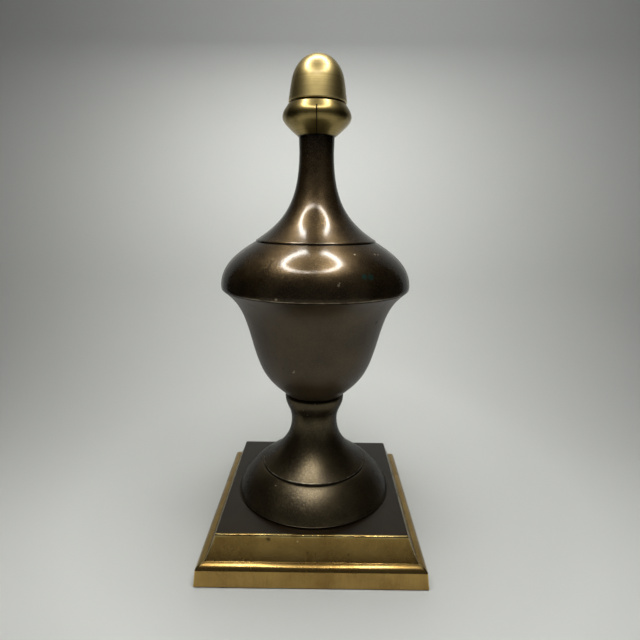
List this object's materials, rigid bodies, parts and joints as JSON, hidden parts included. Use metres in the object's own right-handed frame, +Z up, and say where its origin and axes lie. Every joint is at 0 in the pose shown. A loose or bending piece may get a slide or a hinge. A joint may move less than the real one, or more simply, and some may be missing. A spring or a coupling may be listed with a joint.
{
  "type": "finial",
  "caption": "Table-top brass finial: a bronze-lacquered covered urn with a long neck, on a square stepped brass plinth, topped by a polished acorn.",
  "frame": {"origin": "centre of the plinth's underside, on the surface it stands on", "axes": "+Z up along the turning axis, towards the acorn; -Y towards the front, where the cup's seam is; +X to the right seen from the front"},
  "size_m": [0.1152, 0.1152, 0.2532],
  "materials": {
    "brass": "worn satin, lightly tarnished",
    "bronze_lacquer": "semi-gloss metallic lacquer"
  },
  "bodies": {
    "root": {"plinth": "brass", "foot": "bronze_lacquer", "bowl": "bronze_lacquer", "cover": "bronze_lacquer", "acorn_cup": "brass", "acorn_nut": "brass"}
  },
  "joints": []
}
